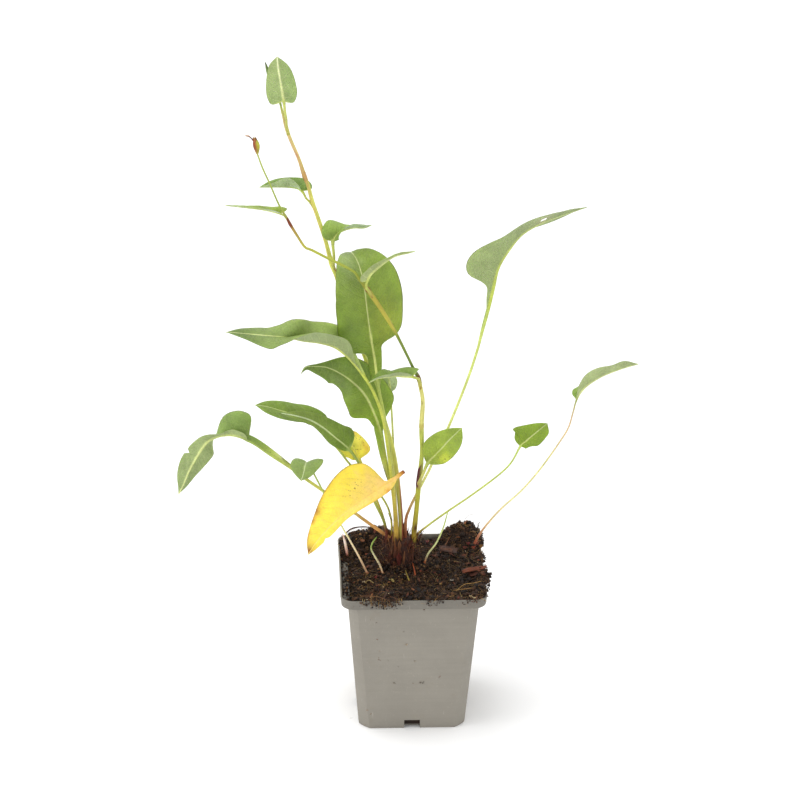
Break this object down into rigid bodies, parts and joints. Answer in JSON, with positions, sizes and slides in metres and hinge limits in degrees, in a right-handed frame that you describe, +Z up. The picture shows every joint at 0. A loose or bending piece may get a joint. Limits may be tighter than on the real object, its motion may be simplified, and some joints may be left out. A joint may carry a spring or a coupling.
{
  "type": "potted common bistort",
  "caption": "Young potted bistort with thin leafy stems, an unopened flower head, long-stalked basal leaves and a withered leaf, in a square tapered nursery pot of wet compost.",
  "frame": {"origin": "middle of the pot's flat underside", "axes": "+Z up the plant, -Y out of the front of the pot, +X to the right seen from the front"},
  "size_m": [0.2846, 0.1024, 0.4245],
  "materials": {
    "leaf_green": "satin green leaf with pale midrib and paler matt underside",
    "leaf_yellow_green": "yellowing leaf, mottled green and orange",
    "leaf_yellow": "dead yellow leaf with brown patches",
    "stem": "satin yellow-green stem with red-brown nodes",
    "flower": "dry brown and green bud scales",
    "sprout": "pale young shoot",
    "crown": "fibrous red-brown sheaths",
    "bark": "rough bark",
    "compost": "wet crumbly peat compost",
    "pot": "dull grey moulded plastic"
  },
  "bodies": {
    "root": {"leaf_oval": "leaf_green", "leaf_hooked": "leaf_green", "leaf_wavy": "leaf_green", "leaf_small": "leaf_green", "leaf_upper_left": "leaf_green", "leaf_lower_left": "leaf_green", "leaf_far_left": "leaf_green", "leaf_nodding": "leaf_green", "leaf_far_right": "leaf_green", "leaf_right_heart": "leaf_green", "leaf_right_arch": "leaf_green", "stem_leaf_low": "leaf_green", "stem_leaf_mid": "leaf_green", "stem_leaf_high": "leaf_green", "stem_leaf_top": "leaf_green", "tall_leaf_low": "leaf_green", "tall_leaf_mid": "leaf_green", "tall_leaf_top": "leaf_green", "tall_leaf_young": "leaf_green", "leaf_yellowing": "leaf_yellow_green", "leaf_withered": "leaf_yellow", "stem_tall": "stem", "stem_bud": "stem", "stalk_bare": "stem", "flower_bud": "flower", "sprout_pale": "sprout", "sprout_green": "sprout", "crown": "crown", "bark_chunk": "bark", "bark_flake": "bark", "compost": "compost", "pot": "pot"}
  },
  "joints": []
}
